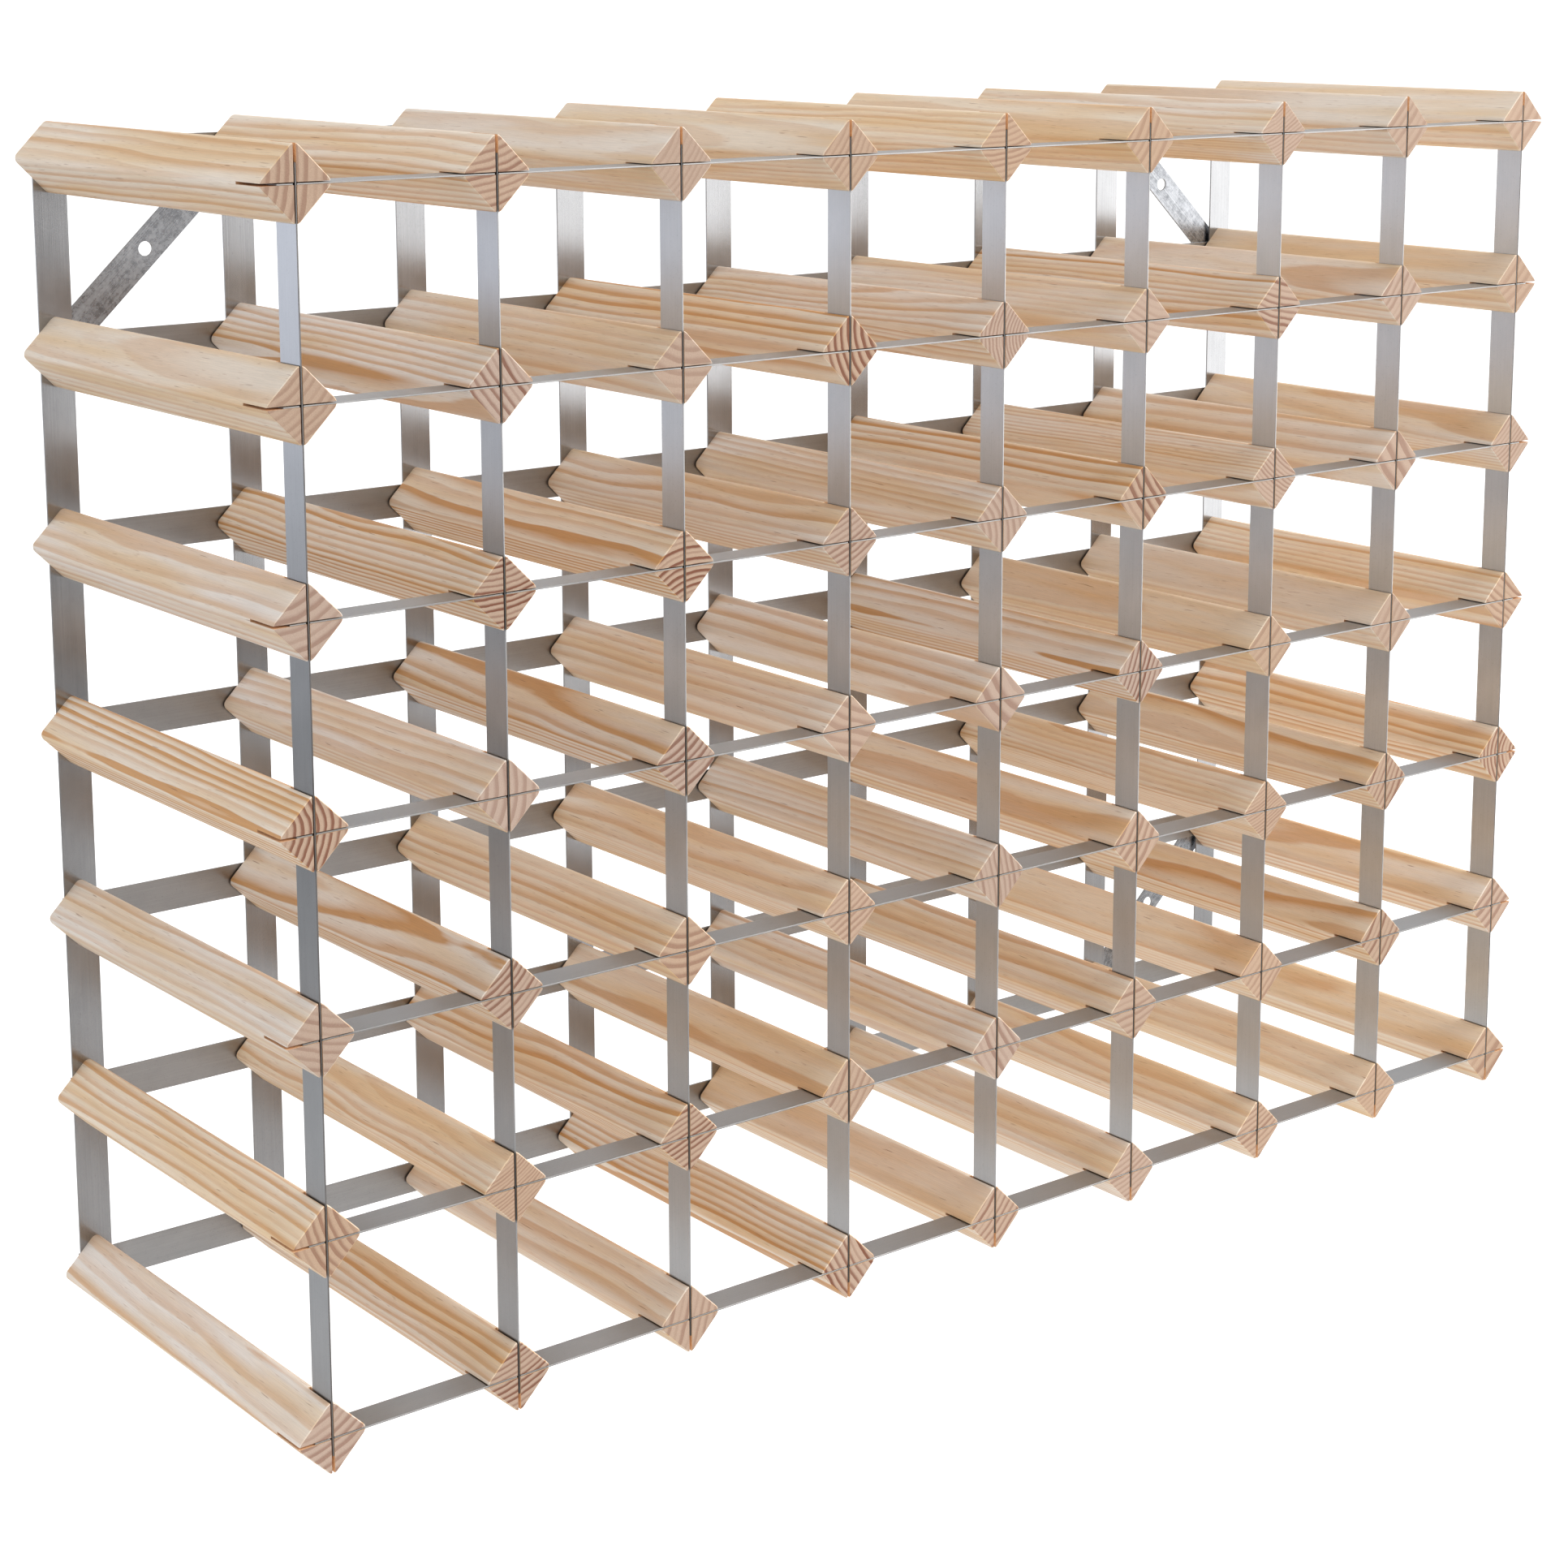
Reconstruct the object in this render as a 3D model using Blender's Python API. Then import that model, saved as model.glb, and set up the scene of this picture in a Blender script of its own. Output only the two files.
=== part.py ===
"""Wine rack: pine bars laid front to back in nine columns and seven rows.

At the front, steel strips stand on edge in saw kerfs in the bars' ends and cross each other
in half-lap notches. At the back, flat strips of the same stock lie across the bars' ends,
uprights first and rails behind them, with a diagonal wall brace over each corner cell.

Frame: metres, +X to the right seen from the front, +Y to the back, +Z up. The origin is the
centre of the footprint, at the height of the surface that the lowest bars stand on.
Columns count from the left and rows from the bottom, both from 1.
"""
import math

import bmesh
import bpy

# Layout of the bars
COLUMNS = 9
ROWS = 7
COLUMN_PITCH = 0.096
ROW_PITCH = 0.090
# Columns whose bars and front upright are one body, to keep the number of bodies down
JOINED_COLUMNS = (2, 3, 4, 6, 7, 8)

# Pine bars: square section, set on edge, with rounded arrises
BAR_SIDE = 0.025
BAR_LENGTH = 0.228
ARRIS_RADIUS = 0.003
# An odd number, so that each rounded arris has a flat facet at its top
ARRIS_SEGMENTS = 3
KERF_WIDTH = 0.0016
KERF_DEPTH = 0.022

# Galvanised steel strip
STRIP_THICKNESS = 0.0010
STRIP_WIDTH = 0.0165
STRIP_OVERHANG = 0.0085
FRONT_SETBACK = 0.0003
NOTCH_WIDTH = 0.0018

# Wall braces
BRACE_END = 0.007
BRACE_HOLE_DIAMETER = 0.007
HOLE_SIDES = 32

# Clearance between touching pieces, and how far a cutter runs past what it cuts
GAP = 0.0003
CUTTER_RUNOUT = 0.010

# Colours, linear, with roughness and metallic value
PINE = ((0.72, 0.52, 0.33, 1.0), 0.55, 0.0)
STEEL = ((0.50, 0.51, 0.53, 1.0), 0.35, 1.0)

# Worked out from the driving dimensions
REAR_LAYERS = 3
DEPTH = BAR_LENGTH + REAR_LAYERS * (STRIP_THICKNESS + GAP)
Y_FRONT = -DEPTH / 2
Y_BAR_END = Y_FRONT + BAR_LENGTH
Y_STRIP_FRONT = Y_FRONT + FRONT_SETBACK
Y_STRIP_MIDDLE = Y_STRIP_FRONT + STRIP_WIDTH / 2
Y_STRIP_BACK = Y_STRIP_FRONT + STRIP_WIDTH
# Distance from a bar's axis to the facet at the top of its rounded arris
FACET_ANGLE = math.pi / 4 / ARRIS_SEGMENTS
BAR_HALF_DIAGONAL = (
    (BAR_SIDE / 2 - ARRIS_RADIUS) * math.sqrt(2) + ARRIS_RADIUS * math.cos(FACET_ANGLE)
)
HALF_WIDTH = (COLUMNS - 1) * COLUMN_PITCH / 2
RAIL_HALF_LENGTH = HALF_WIDTH + STRIP_OVERHANG


def column_x(column):
    """The x of a column's bar axes."""
    return (column - 1) * COLUMN_PITCH - HALF_WIDTH


def row_z(row):
    """The z of a row's bar axes."""
    return BAR_HALF_DIAGONAL + (row - 1) * ROW_PITCH


UPRIGHT_LOW = row_z(1) - STRIP_OVERHANG
UPRIGHT_HIGH = row_z(ROWS) + STRIP_OVERHANG


def clear_scene():
    """Removes every object, so that the script starts from nothing."""
    for thing in list(bpy.data.objects):
        bpy.data.objects.remove(thing, do_unlink=True)


def make_collection(name):
    """A collection linked to the scene."""
    collection = bpy.data.collections.new(name)
    bpy.context.scene.collection.children.link(collection)
    return collection


def make_material(name, look):
    """A Principled BSDF material from a (colour, roughness, metallic) look."""
    material = bpy.data.materials.new(name)
    material.use_nodes = True
    shader = material.node_tree.nodes["Principled BSDF"]
    colour, roughness, metallic = look
    shader.inputs["Base Color"].default_value = colour
    shader.inputs["Roughness"].default_value = roughness
    shader.inputs["Metallic"].default_value = metallic
    material.diffuse_color = colour
    return material


def keep(thing, collection):
    """Moves an object to one collection only."""
    for old in list(thing.users_collection):
        old.objects.unlink(thing)
    collection.objects.link(thing)


def add_box(name, low, high, collection, material=None):
    """A box between two corners, with its scale applied."""
    size = [high[i] - low[i] for i in range(3)]
    centre = [(high[i] + low[i]) / 2 for i in range(3)]
    bpy.ops.mesh.primitive_cube_add(size=1.0, location=centre)
    box = bpy.context.object
    box.name = name
    box.data.name = name
    box.scale = size
    bpy.ops.object.transform_apply(location=False, rotation=False, scale=True)
    if material:
        box.data.materials.append(material)
    keep(box, collection)
    return box


def hide_cutter(cutter):
    """Marks an object as a cutter or a guide."""
    cutter.hide_render = True
    cutter.display_type = "WIRE"
    return cutter


def add_boolean(thing, operation, operand):
    """Adds a Boolean with the exact solver."""
    boolean = thing.modifiers.new(f"{operation.lower()}_{operand.name}", "BOOLEAN")
    boolean.operation = operation
    boolean.object = operand
    boolean.solver = "EXACT"


def make_cutters(collection):
    """The kerfs in the bars and the notches in the front strips, one slab a row or column."""
    kerf = KERF_WIDTH / 2
    notch = NOTCH_WIDTH / 2
    kerf_y = (Y_FRONT - CUTTER_RUNOUT, Y_FRONT + KERF_DEPTH)
    rail_notch_y = (Y_FRONT - CUTTER_RUNOUT, Y_STRIP_MIDDLE + GAP / 2)
    upright_notch_y = (Y_STRIP_MIDDLE - GAP / 2, Y_STRIP_BACK + CUTTER_RUNOUT)
    side = RAIL_HALF_LENGTH + CUTTER_RUNOUT
    low = row_z(1) - BAR_SIDE
    high = row_z(ROWS) + BAR_SIDE

    def row_slab(name, row, half, span):
        z = row_z(row)
        box = add_box(name, (-side, span[0], z - half), (side, span[1], z + half), collection)
        return hide_cutter(box)

    def column_slab(name, column, half, span):
        x = column_x(column)
        box = add_box(name, (x - half, span[0], low), (x + half, span[1], high), collection)
        return hide_cutter(box)

    rows = range(1, ROWS + 1)
    columns = range(1, COLUMNS + 1)
    return {
        "row_kerf": {r: row_slab(f"row_kerf_{r}", r, kerf, kerf_y) for r in rows},
        "column_kerf": {c: column_slab(f"column_kerf_{c}", c, kerf, kerf_y) for c in columns},
        "upright_notch": {
            r: row_slab(f"upright_notch_{r}", r, notch, upright_notch_y) for r in rows
        },
        "rail_notch": {
            c: column_slab(f"rail_notch_{c}", c, notch, rail_notch_y) for c in columns
        },
    }


def make_bar_mesh(material):
    """A bar along Y, centred on the origin, with its four long arrises rounded."""
    shape = bmesh.new()
    bmesh.ops.create_cube(shape, size=1.0)
    bmesh.ops.scale(shape, vec=(BAR_SIDE, BAR_LENGTH, BAR_SIDE), verts=shape.verts)
    long_edges = [edge for edge in shape.edges if edge.calc_length() > BAR_LENGTH / 2]
    bmesh.ops.bevel(
        shape,
        geom=long_edges,
        offset=ARRIS_RADIUS,
        offset_type="OFFSET",
        segments=ARRIS_SEGMENTS,
        profile=0.5,
        affect="EDGES",
    )
    mesh = bpy.data.meshes.new("bar")
    shape.to_mesh(mesh)
    shape.free()
    mesh.shade_smooth()
    mesh.set_sharp_from_angle(angle=math.radians(45))
    mesh.materials.append(material)
    return mesh


def add_bar(column, row, mesh, collection, kerfs):
    """One bar on its arris, with the kerfs that hold the front strips."""
    bar = bpy.data.objects.new(f"bar_column_{column}_row_{row}", mesh)
    bar.location = (column_x(column), Y_FRONT + BAR_LENGTH / 2, row_z(row))
    bar.rotation_euler = (0.0, math.pi / 4, 0.0)
    collection.objects.link(bar)
    for kerf in kerfs:
        add_boolean(bar, "DIFFERENCE", kerf)
    return bar


def add_front_upright(column, name, collection, cutters, material):
    """A strip on edge, notched from its inner edge at each row."""
    x = column_x(column)
    half = STRIP_THICKNESS / 2
    upright = add_box(
        name,
        (x - half, Y_STRIP_FRONT, UPRIGHT_LOW),
        (x + half, Y_STRIP_BACK, UPRIGHT_HIGH),
        collection,
        material,
    )
    for cutter in cutters["upright_notch"].values():
        add_boolean(upright, "DIFFERENCE", cutter)
    return upright


def add_front_rail(row, collection, cutters, material):
    """A strip on edge, notched from its outer edge at each column."""
    half = STRIP_THICKNESS / 2
    rail = add_box(
        f"front_rail_{row}",
        (-RAIL_HALF_LENGTH, Y_STRIP_FRONT, row_z(row) - half),
        (RAIL_HALF_LENGTH, Y_STRIP_BACK, row_z(row) + half),
        collection,
        material,
    )
    for cutter in cutters["rail_notch"].values():
        add_boolean(rail, "DIFFERENCE", cutter)
    return rail


def add_column(column, bar, parts, guides, cutters, steel):
    """A column of bars and its front upright, separate or joined into one body."""
    rows = range(1, ROWS + 1)
    if column not in JOINED_COLUMNS:
        for row in rows:
            kerfs = (cutters["row_kerf"][row], cutters["column_kerf"][column])
            add_bar(column, row, bar, parts, kerfs)
        add_front_upright(column, f"front_upright_{column}", parts, cutters, steel)
        return
    name = f"column_{column}_bars_and_front_upright"
    joined = add_front_upright(column, name, parts, cutters, bar.materials[0])
    for row in rows:
        guide = add_bar(column, row, bar, guides, (cutters["row_kerf"][row],))
        hide_cutter(guide)
        add_boolean(joined, "UNION", guide)


def layer_y(layer):
    """Front and back of a layer of flat strip behind the bars' ends, counted from 0."""
    front = Y_BAR_END + GAP + layer * (STRIP_THICKNESS + GAP)
    return front, front + STRIP_THICKNESS


def add_rear_strips(collection, material):
    """Flat uprights against the bars' ends, and flat rails behind the uprights."""
    half = STRIP_WIDTH / 2
    front, back = layer_y(0)
    for column in range(1, COLUMNS + 1):
        x = column_x(column)
        low = (x - half, front, UPRIGHT_LOW)
        high = (x + half, back, UPRIGHT_HIGH)
        add_box(f"rear_upright_{column}", low, high, collection, material)
    front, back = layer_y(1)
    for row in range(1, ROWS + 1):
        z = row_z(row)
        low = (-RAIL_HALF_LENGTH, front, z - half)
        high = (RAIL_HALF_LENGTH, back, z + half)
        add_box(f"rear_rail_{row}", low, high, collection, material)


def add_brace(name, column, row, slope, parts, guides, material):
    """A flat strap over the cell above and right of a column and row, with a screw hole."""
    front, back = layer_y(2)
    middle = (front + back) / 2
    centre = (column_x(column) + COLUMN_PITCH / 2, middle, row_z(row) + ROW_PITCH / 2)
    half_length = math.hypot(COLUMN_PITCH, ROW_PITCH) / 2 + BRACE_END
    half = (half_length, STRIP_THICKNESS / 2, STRIP_WIDTH / 2)
    low = [centre[i] - half[i] for i in range(3)]
    high = [centre[i] + half[i] for i in range(3)]
    brace = add_box(name, low, high, parts, material)
    brace.rotation_euler = (0.0, -slope * math.atan2(ROW_PITCH, COLUMN_PITCH), 0.0)
    bpy.ops.mesh.primitive_cylinder_add(
        vertices=HOLE_SIDES,
        radius=BRACE_HOLE_DIAMETER / 2,
        depth=CUTTER_RUNOUT,
        location=centre,
        rotation=(math.pi / 2, 0.0, 0.0),
    )
    drill = bpy.context.object
    drill.name = f"{name}_drill"
    keep(drill, guides)
    add_boolean(brace, "DIFFERENCE", hide_cutter(drill))


def build():
    """Builds the whole rack."""
    clear_scene()
    parts = make_collection("wine_rack")
    guides = make_collection("wine_rack_cutters")
    pine = make_material("pine", PINE)
    steel = make_material("galvanised_steel", STEEL)
    cutters = make_cutters(guides)
    bar = make_bar_mesh(pine)
    for column in range(1, COLUMNS + 1):
        add_column(column, bar, parts, guides, cutters, steel)
    for row in range(1, ROWS + 1):
        add_front_rail(row, parts, cutters, steel)
    add_rear_strips(parts, steel)
    last_column = COLUMNS - 1
    last_row = ROWS - 1
    add_brace("wall_brace_top_left", 1, last_row, 1, parts, guides, steel)
    add_brace("wall_brace_top_right", last_column, last_row, -1, parts, guides, steel)
    add_brace("wall_brace_bottom_left", 1, 1, -1, parts, guides, steel)
    add_brace("wall_brace_bottom_right", last_column, 1, 1, parts, guides, steel)


build()
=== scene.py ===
"""Looks for the wine rack: pine bars, galvanised strips, wall braces and nail heads.

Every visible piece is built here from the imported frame's boxes and stands for CAD nodes.
Units are metres; the wood and steel patterns work in millimetres.
"""
import math
import random

import bmesh
import bpy
from mathutils import Matrix, Vector


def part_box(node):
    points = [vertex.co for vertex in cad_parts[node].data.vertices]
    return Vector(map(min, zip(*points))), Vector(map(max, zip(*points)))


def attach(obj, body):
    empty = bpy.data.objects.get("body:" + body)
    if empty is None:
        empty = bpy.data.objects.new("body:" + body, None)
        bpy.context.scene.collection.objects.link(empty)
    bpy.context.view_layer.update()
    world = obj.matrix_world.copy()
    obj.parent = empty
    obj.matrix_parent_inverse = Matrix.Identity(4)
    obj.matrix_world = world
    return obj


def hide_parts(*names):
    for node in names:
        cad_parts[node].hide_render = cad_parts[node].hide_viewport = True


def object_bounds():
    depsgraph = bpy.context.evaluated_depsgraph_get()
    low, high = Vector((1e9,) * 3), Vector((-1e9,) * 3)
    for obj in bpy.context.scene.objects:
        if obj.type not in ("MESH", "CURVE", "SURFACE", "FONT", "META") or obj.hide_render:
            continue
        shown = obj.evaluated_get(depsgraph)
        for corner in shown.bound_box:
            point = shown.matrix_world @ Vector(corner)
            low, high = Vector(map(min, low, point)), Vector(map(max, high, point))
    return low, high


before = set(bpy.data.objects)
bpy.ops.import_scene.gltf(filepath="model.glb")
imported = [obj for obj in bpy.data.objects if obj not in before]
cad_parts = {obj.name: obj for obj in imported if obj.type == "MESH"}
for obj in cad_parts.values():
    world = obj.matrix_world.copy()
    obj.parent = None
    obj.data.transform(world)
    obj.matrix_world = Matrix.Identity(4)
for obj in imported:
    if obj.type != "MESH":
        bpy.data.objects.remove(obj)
cad_low, cad_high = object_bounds()

MM = 0.001
COLUMNS = range(1, 10)
ROWS = range(1, 8)
JOINED = (2, 3, 4, 6, 7, 8)


def column_node(column):
    return f"column_{column}_bars_and_front_upright"


def bar_node(column, row):
    return column_node(column) if column in JOINED else f"bar_column_{column}_row_{row}"


# ---------------------------------------------------------------- places taken from the frame
first_low, first_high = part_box("bar_column_1_row_1")
BAR_FRONT, BAR_REAR = first_low.y, first_high.y
BAR_MIDDLE = (BAR_FRONT + BAR_REAR) / 2
BAR_LENGTH = BAR_REAR - BAR_FRONT
BAR_TIP = (first_high.z - first_low.z) / 2


def middle(node, axis):
    low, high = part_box(node)
    return (low[axis] + high[axis]) / 2


COLUMN_X = {c: middle(f"rear_upright_{c}", 0) for c in COLUMNS}
ROW_Z = {r: middle(f"rear_rail_{r}", 2) for r in ROWS}
ROW_PITCH = (ROW_Z[7] - ROW_Z[1]) / 6

# ---------------------------------------------------------------- camera
# Close to the view that fits the photograph best. That one has a larger shift, which would crop
# the rack in other views, so the elevation and the shift are a compromise.
CAMERA_AT = Vector((-0.9969, -1.2132, 0.6425))
CAMERA_AZIMUTH = math.radians(38.14)
CAMERA_ELEVATION = math.radians(-10.19)
CAMERA_ROLL = math.radians(-0.115)
FRAME_SIDE = 1932
# In pixels of the frame
FOCAL = 3803
SENSOR = 36.0
SHIFT_Y = -0.169

camera_data = bpy.data.cameras.new("camera")
camera_data.sensor_width = SENSOR
camera_data.lens = FOCAL / FRAME_SIDE * SENSOR
camera_data.shift_y = SHIFT_Y
camera_data.clip_end = 100.0
camera = bpy.data.objects.new("camera", camera_data)
bpy.context.scene.collection.objects.link(camera)
forward = Vector((
    math.sin(CAMERA_AZIMUTH) * math.cos(CAMERA_ELEVATION),
    math.cos(CAMERA_AZIMUTH) * math.cos(CAMERA_ELEVATION),
    math.sin(CAMERA_ELEVATION),
))
right = forward.cross(Vector((0, 0, 1))).normalized()
up = right.cross(forward)
rolled_right = right * math.cos(CAMERA_ROLL) + up * math.sin(CAMERA_ROLL)
rolled_up = up * math.cos(CAMERA_ROLL) - right * math.sin(CAMERA_ROLL)
camera.matrix_world = Matrix((
    (rolled_right.x, rolled_up.x, -forward.x, CAMERA_AT.x),
    (rolled_right.y, rolled_up.y, -forward.y, CAMERA_AT.y),
    (rolled_right.z, rolled_up.z, -forward.z, CAMERA_AT.z),
    (0, 0, 0, 1),
))
bpy.context.scene.camera = camera
bpy.context.scene.view_settings.view_transform = "Standard"


# ---------------------------------------------------------------- node helpers
class Graph:
    """A short way to write a node tree: each method adds a node and returns its output."""

    def __init__(self, tree):
        self.tree = tree

    def node(self, kind, settings=None, **inputs):
        made = self.tree.nodes.new(kind)
        for key, value in (settings or {}).items():
            setattr(made, key, value)
        for key, value in inputs.items():
            socket = made.inputs[int(key[1:]) if key[0] == "_" else key.replace("_", " ")]
            self.feed(socket, value)
        return made

    def feed(self, socket, value):
        if isinstance(value, bpy.types.NodeSocket):
            self.tree.links.new(value, socket)
        else:
            socket.default_value = value

    def attribute(self, name):
        return self.node("ShaderNodeAttribute", {"attribute_name": name}).outputs["Vector"]

    def split(self, vector):
        return self.node("ShaderNodeSeparateXYZ", Vector=vector).outputs

    def join(self, x, y, z):
        return self.node("ShaderNodeCombineXYZ", X=x, Y=y, Z=z).outputs[0]

    def math(self, operation, a, b=0.0, c=0.0, clamp=False):
        settings = {"operation": operation, "use_clamp": clamp}
        return self.node("ShaderNodeMath", settings, _0=a, _1=b, _2=c).outputs[0]

    def scale(self, vector, factors):
        settings = {"operation": "MULTIPLY"}
        return self.node("ShaderNodeVectorMath", settings, _0=vector, _1=factors).outputs[0]

    def noise(self, vector, scale=1.0, detail=2.0, roughness=0.5):
        return self.node(
            "ShaderNodeTexNoise", Vector=vector, Scale=scale, Detail=detail, Roughness=roughness
        ).outputs["Fac"]

    def ramp(self, value, stops, interpolation="LINEAR"):
        made = self.node("ShaderNodeValToRGB", Fac=value)
        made.color_ramp.interpolation = interpolation
        elements = made.color_ramp.elements
        while len(elements) < len(stops):
            elements.new(0.5)
        for element, (position, colour) in zip(elements, stops):
            element.position = position
            element.color = colour if len(colour) == 4 else (*colour, 1.0)
        return made.outputs["Color"]

    def levels(self, value, stops):
        return self.ramp(value, [(p, (v, v, v, 1.0)) for p, v in stops])

    def mix(self, factor, a, b, blend="MIX"):
        made = self.node("ShaderNodeMix", {"data_type": "RGBA", "blend_type": blend})
        self.feed(made.inputs["Factor"], factor)
        self.feed(made.inputs[6], a)
        self.feed(made.inputs[7], b)
        return made.outputs[2]


def rgb(red, green, blue):
    """A linear colour from sRGB bytes."""
    def linear(value):
        value /= 255
        return value / 12.92 if value <= 0.04045 else ((value + 0.055) / 1.055) ** 2.4
    return (linear(red), linear(green), linear(blue), 1.0)


def new_material(name, colour):
    material = bpy.data.materials.new(name)
    material.use_nodes = True
    material.diffuse_color = colour
    graph = Graph(material.node_tree)
    return material, graph, material.node_tree.nodes["Principled BSDF"]


# ---------------------------------------------------------------- pine
PALE = rgb(241, 227, 210)
PALE_WARM = rgb(235, 207, 170)
STRIPE = rgb(210, 156, 98)
END_PALE = rgb(187, 160, 139)
END_LINE = rgb(126, 78, 56)
FLECK_MARK = rgb(176, 128, 86)
RESIN_DASH = rgb(150, 98, 62)
KERF_WOOD = rgb(232, 190, 148)
KERF_DARK = rgb(222, 174, 128)
KERF_PALE = rgb(240, 205, 165)
# How far the rings wander from true circles about the pith, in mm, slowly and quickly
SLOW_WANDER = 5.5
QUICK_WANDER = 1.1
BUMP_HEIGHT = 0.0004


def ring_pattern(graph):
    """Growth rings about a distant pith: (ring profile 0 to 1, grain vector, tone outputs).

    The attribute "grain" is the place in the log in mm, with the pith along Y. The attribute
    "tone" holds the rings' spacing in mm and their strength.
    """
    grain = graph.attribute("grain")
    tone = graph.split(graph.attribute("tone"))
    across = graph.split(grain)
    slow = graph.noise(graph.scale(grain, (0.030, 0.0075, 0.030)), detail=1.0)
    quick = graph.noise(graph.scale(grain, (0.16, 0.022, 0.16)), detail=2.0)
    squares = graph.math(
        "ADD",
        graph.math("MULTIPLY", across[0], across[0]),
        graph.math("MULTIPLY", across[2], across[2]),
    )
    radius = graph.math("SQRT", squares)
    wander = graph.math("MULTIPLY_ADD", slow, SLOW_WANDER, radius)
    wander = graph.math("MULTIPLY_ADD", quick, QUICK_WANDER, wander)
    phase = graph.math("DIVIDE", wander, tone[0])
    part = graph.math("FRACT", phase)
    profile = graph.levels(
        part, [(0.0, 0.0), (0.24, 0.05), (0.50, 0.45), (0.70, 1.0), (0.92, 0.95), (1.0, 0.0)]
    )
    which = graph.math("FLOOR", phase)
    strength = graph.node(
        "ShaderNodeTexWhiteNoise", {"noise_dimensions": "1D"}, W=which
    ).outputs["Value"]
    strength = graph.math("MULTIPLY_ADD", strength, 0.70, 0.30)
    return graph.math("MULTIPLY", profile, strength), grain, tone


def pine_side():
    material, graph, shader = new_material("pine", PALE)
    rings, grain, tone = ring_pattern(graph)
    fibre = graph.noise(graph.scale(grain, (3.2, 0.06, 3.2)), detail=3.0, roughness=0.6)
    patch = graph.noise(graph.scale(grain, (0.085, 0.006, 0.085)), detail=2.0)
    fleck = graph.noise(graph.scale(grain, (1.5, 0.11, 1.5)), detail=1.0)
    ground = graph.mix(graph.levels(patch, [(0.42, 0.0), (0.66, 1.0)]), PALE, PALE_WARM)
    depth = graph.math("MULTIPLY_ADD", tone[1], 1.0, 0.17)
    amount = graph.math("MULTIPLY", rings, depth, clamp=True)
    colour = graph.mix(amount, ground, STRIPE)
    streak = graph.levels(fibre, [(0.30, 0.90), (0.70, 1.05)])
    colour = graph.mix(1.0, colour, streak, "MULTIPLY")
    mark = graph.levels(fleck, [(0.66, 0.0), (0.78, 0.35)])
    colour = graph.mix(mark, colour, FLECK_MARK)
    dash = graph.noise(graph.scale(grain, (1.9, 0.075, 1.9)), detail=0.0)
    colour = graph.mix(graph.levels(dash, [(0.79, 0.0), (0.86, 0.6)]), colour, RESIN_DASH)
    colour = graph.mix(1.0, colour, graph.attribute("tint"), "MULTIPLY")
    graph.feed(shader.inputs["Base Color"], colour)
    rough = graph.math("MULTIPLY_ADD", fibre, 0.16, 0.46)
    graph.feed(shader.inputs["Roughness"], rough)
    height = graph.math("MULTIPLY_ADD", rings, 0.5, fibre)
    bump = graph.node("ShaderNodeBump", Strength=0.18, Distance=BUMP_HEIGHT, Height=height)
    graph.feed(shader.inputs["Normal"], bump.outputs[0])
    return material


def pine_end():
    material, graph, shader = new_material("pine_end_grain", END_PALE)
    rings, grain, tone = ring_pattern(graph)
    pores = graph.noise(graph.scale(grain, (2.6, 0.4, 2.6)), detail=3.0, roughness=0.7)
    saw = graph.noise(graph.scale(grain, (0.35, 0.2, 5.0)), detail=1.0)
    line = graph.levels(rings, [(0.14, 0.0), (0.62, 1.0)])
    depth = graph.math("MULTIPLY_ADD", tone[1], 0.75, 0.06)
    amount = graph.math("MULTIPLY", line, depth, clamp=True)
    colour = graph.mix(amount, END_PALE, END_LINE)
    colour = graph.mix(1.0, colour, graph.levels(pores, [(0.3, 0.86), (0.7, 1.05)]), "MULTIPLY")
    colour = graph.mix(1.0, colour, graph.attribute("tint"), "MULTIPLY")
    graph.feed(shader.inputs["Base Color"], colour)
    graph.feed(shader.inputs["Roughness"], graph.math("MULTIPLY_ADD", pores, 0.2, 0.7))
    height = graph.math("MULTIPLY_ADD", saw, 0.6, pores)
    bump = graph.node("ShaderNodeBump", Strength=0.35, Distance=BUMP_HEIGHT, Height=height)
    graph.feed(shader.inputs["Normal"], bump.outputs[0])
    return material


def pine_kerf():
    material, graph, shader = new_material("pine_saw_kerf", KERF_WOOD)
    grain = graph.attribute("grain")
    tear = graph.noise(graph.scale(grain, (1.2, 0.9, 1.2)), detail=3.0, roughness=0.7)
    colour = graph.ramp(tear, [(0.3, KERF_DARK), (0.7, KERF_PALE)])
    graph.feed(shader.inputs["Base Color"], colour)
    graph.feed(shader.inputs["Roughness"], graph.math("MULTIPLY_ADD", tear, 0.2, 0.8))
    bump = graph.node("ShaderNodeBump", Strength=0.5, Distance=BUMP_HEIGHT, Height=tear)
    graph.feed(shader.inputs["Normal"], bump.outputs[0])
    return material


# ---------------------------------------------------------------- steel
def kerf_shade_mask(graph):
    """A mask for painted shade: 1 where a front upright runs through a bar's saw kerf, 0 between
    the bars.
    """
    height = graph.split(graph.node("ShaderNodeTexCoord").outputs["Object"])[2]
    start = 0.5 - ROW_Z[1] / ROW_PITCH
    part = graph.math("FRACT", graph.math("MULTIPLY_ADD", height, 1 / ROW_PITCH, start))
    reach, fade = BAR_TIP / ROW_PITCH, 0.01
    return graph.levels(part, [
        (0.5 - reach - fade, 0.0), (0.5 - reach + fade, 1.0),
        (0.5 + reach - fade, 1.0), (0.5 + reach + fade, 0.0),
    ])


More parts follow.
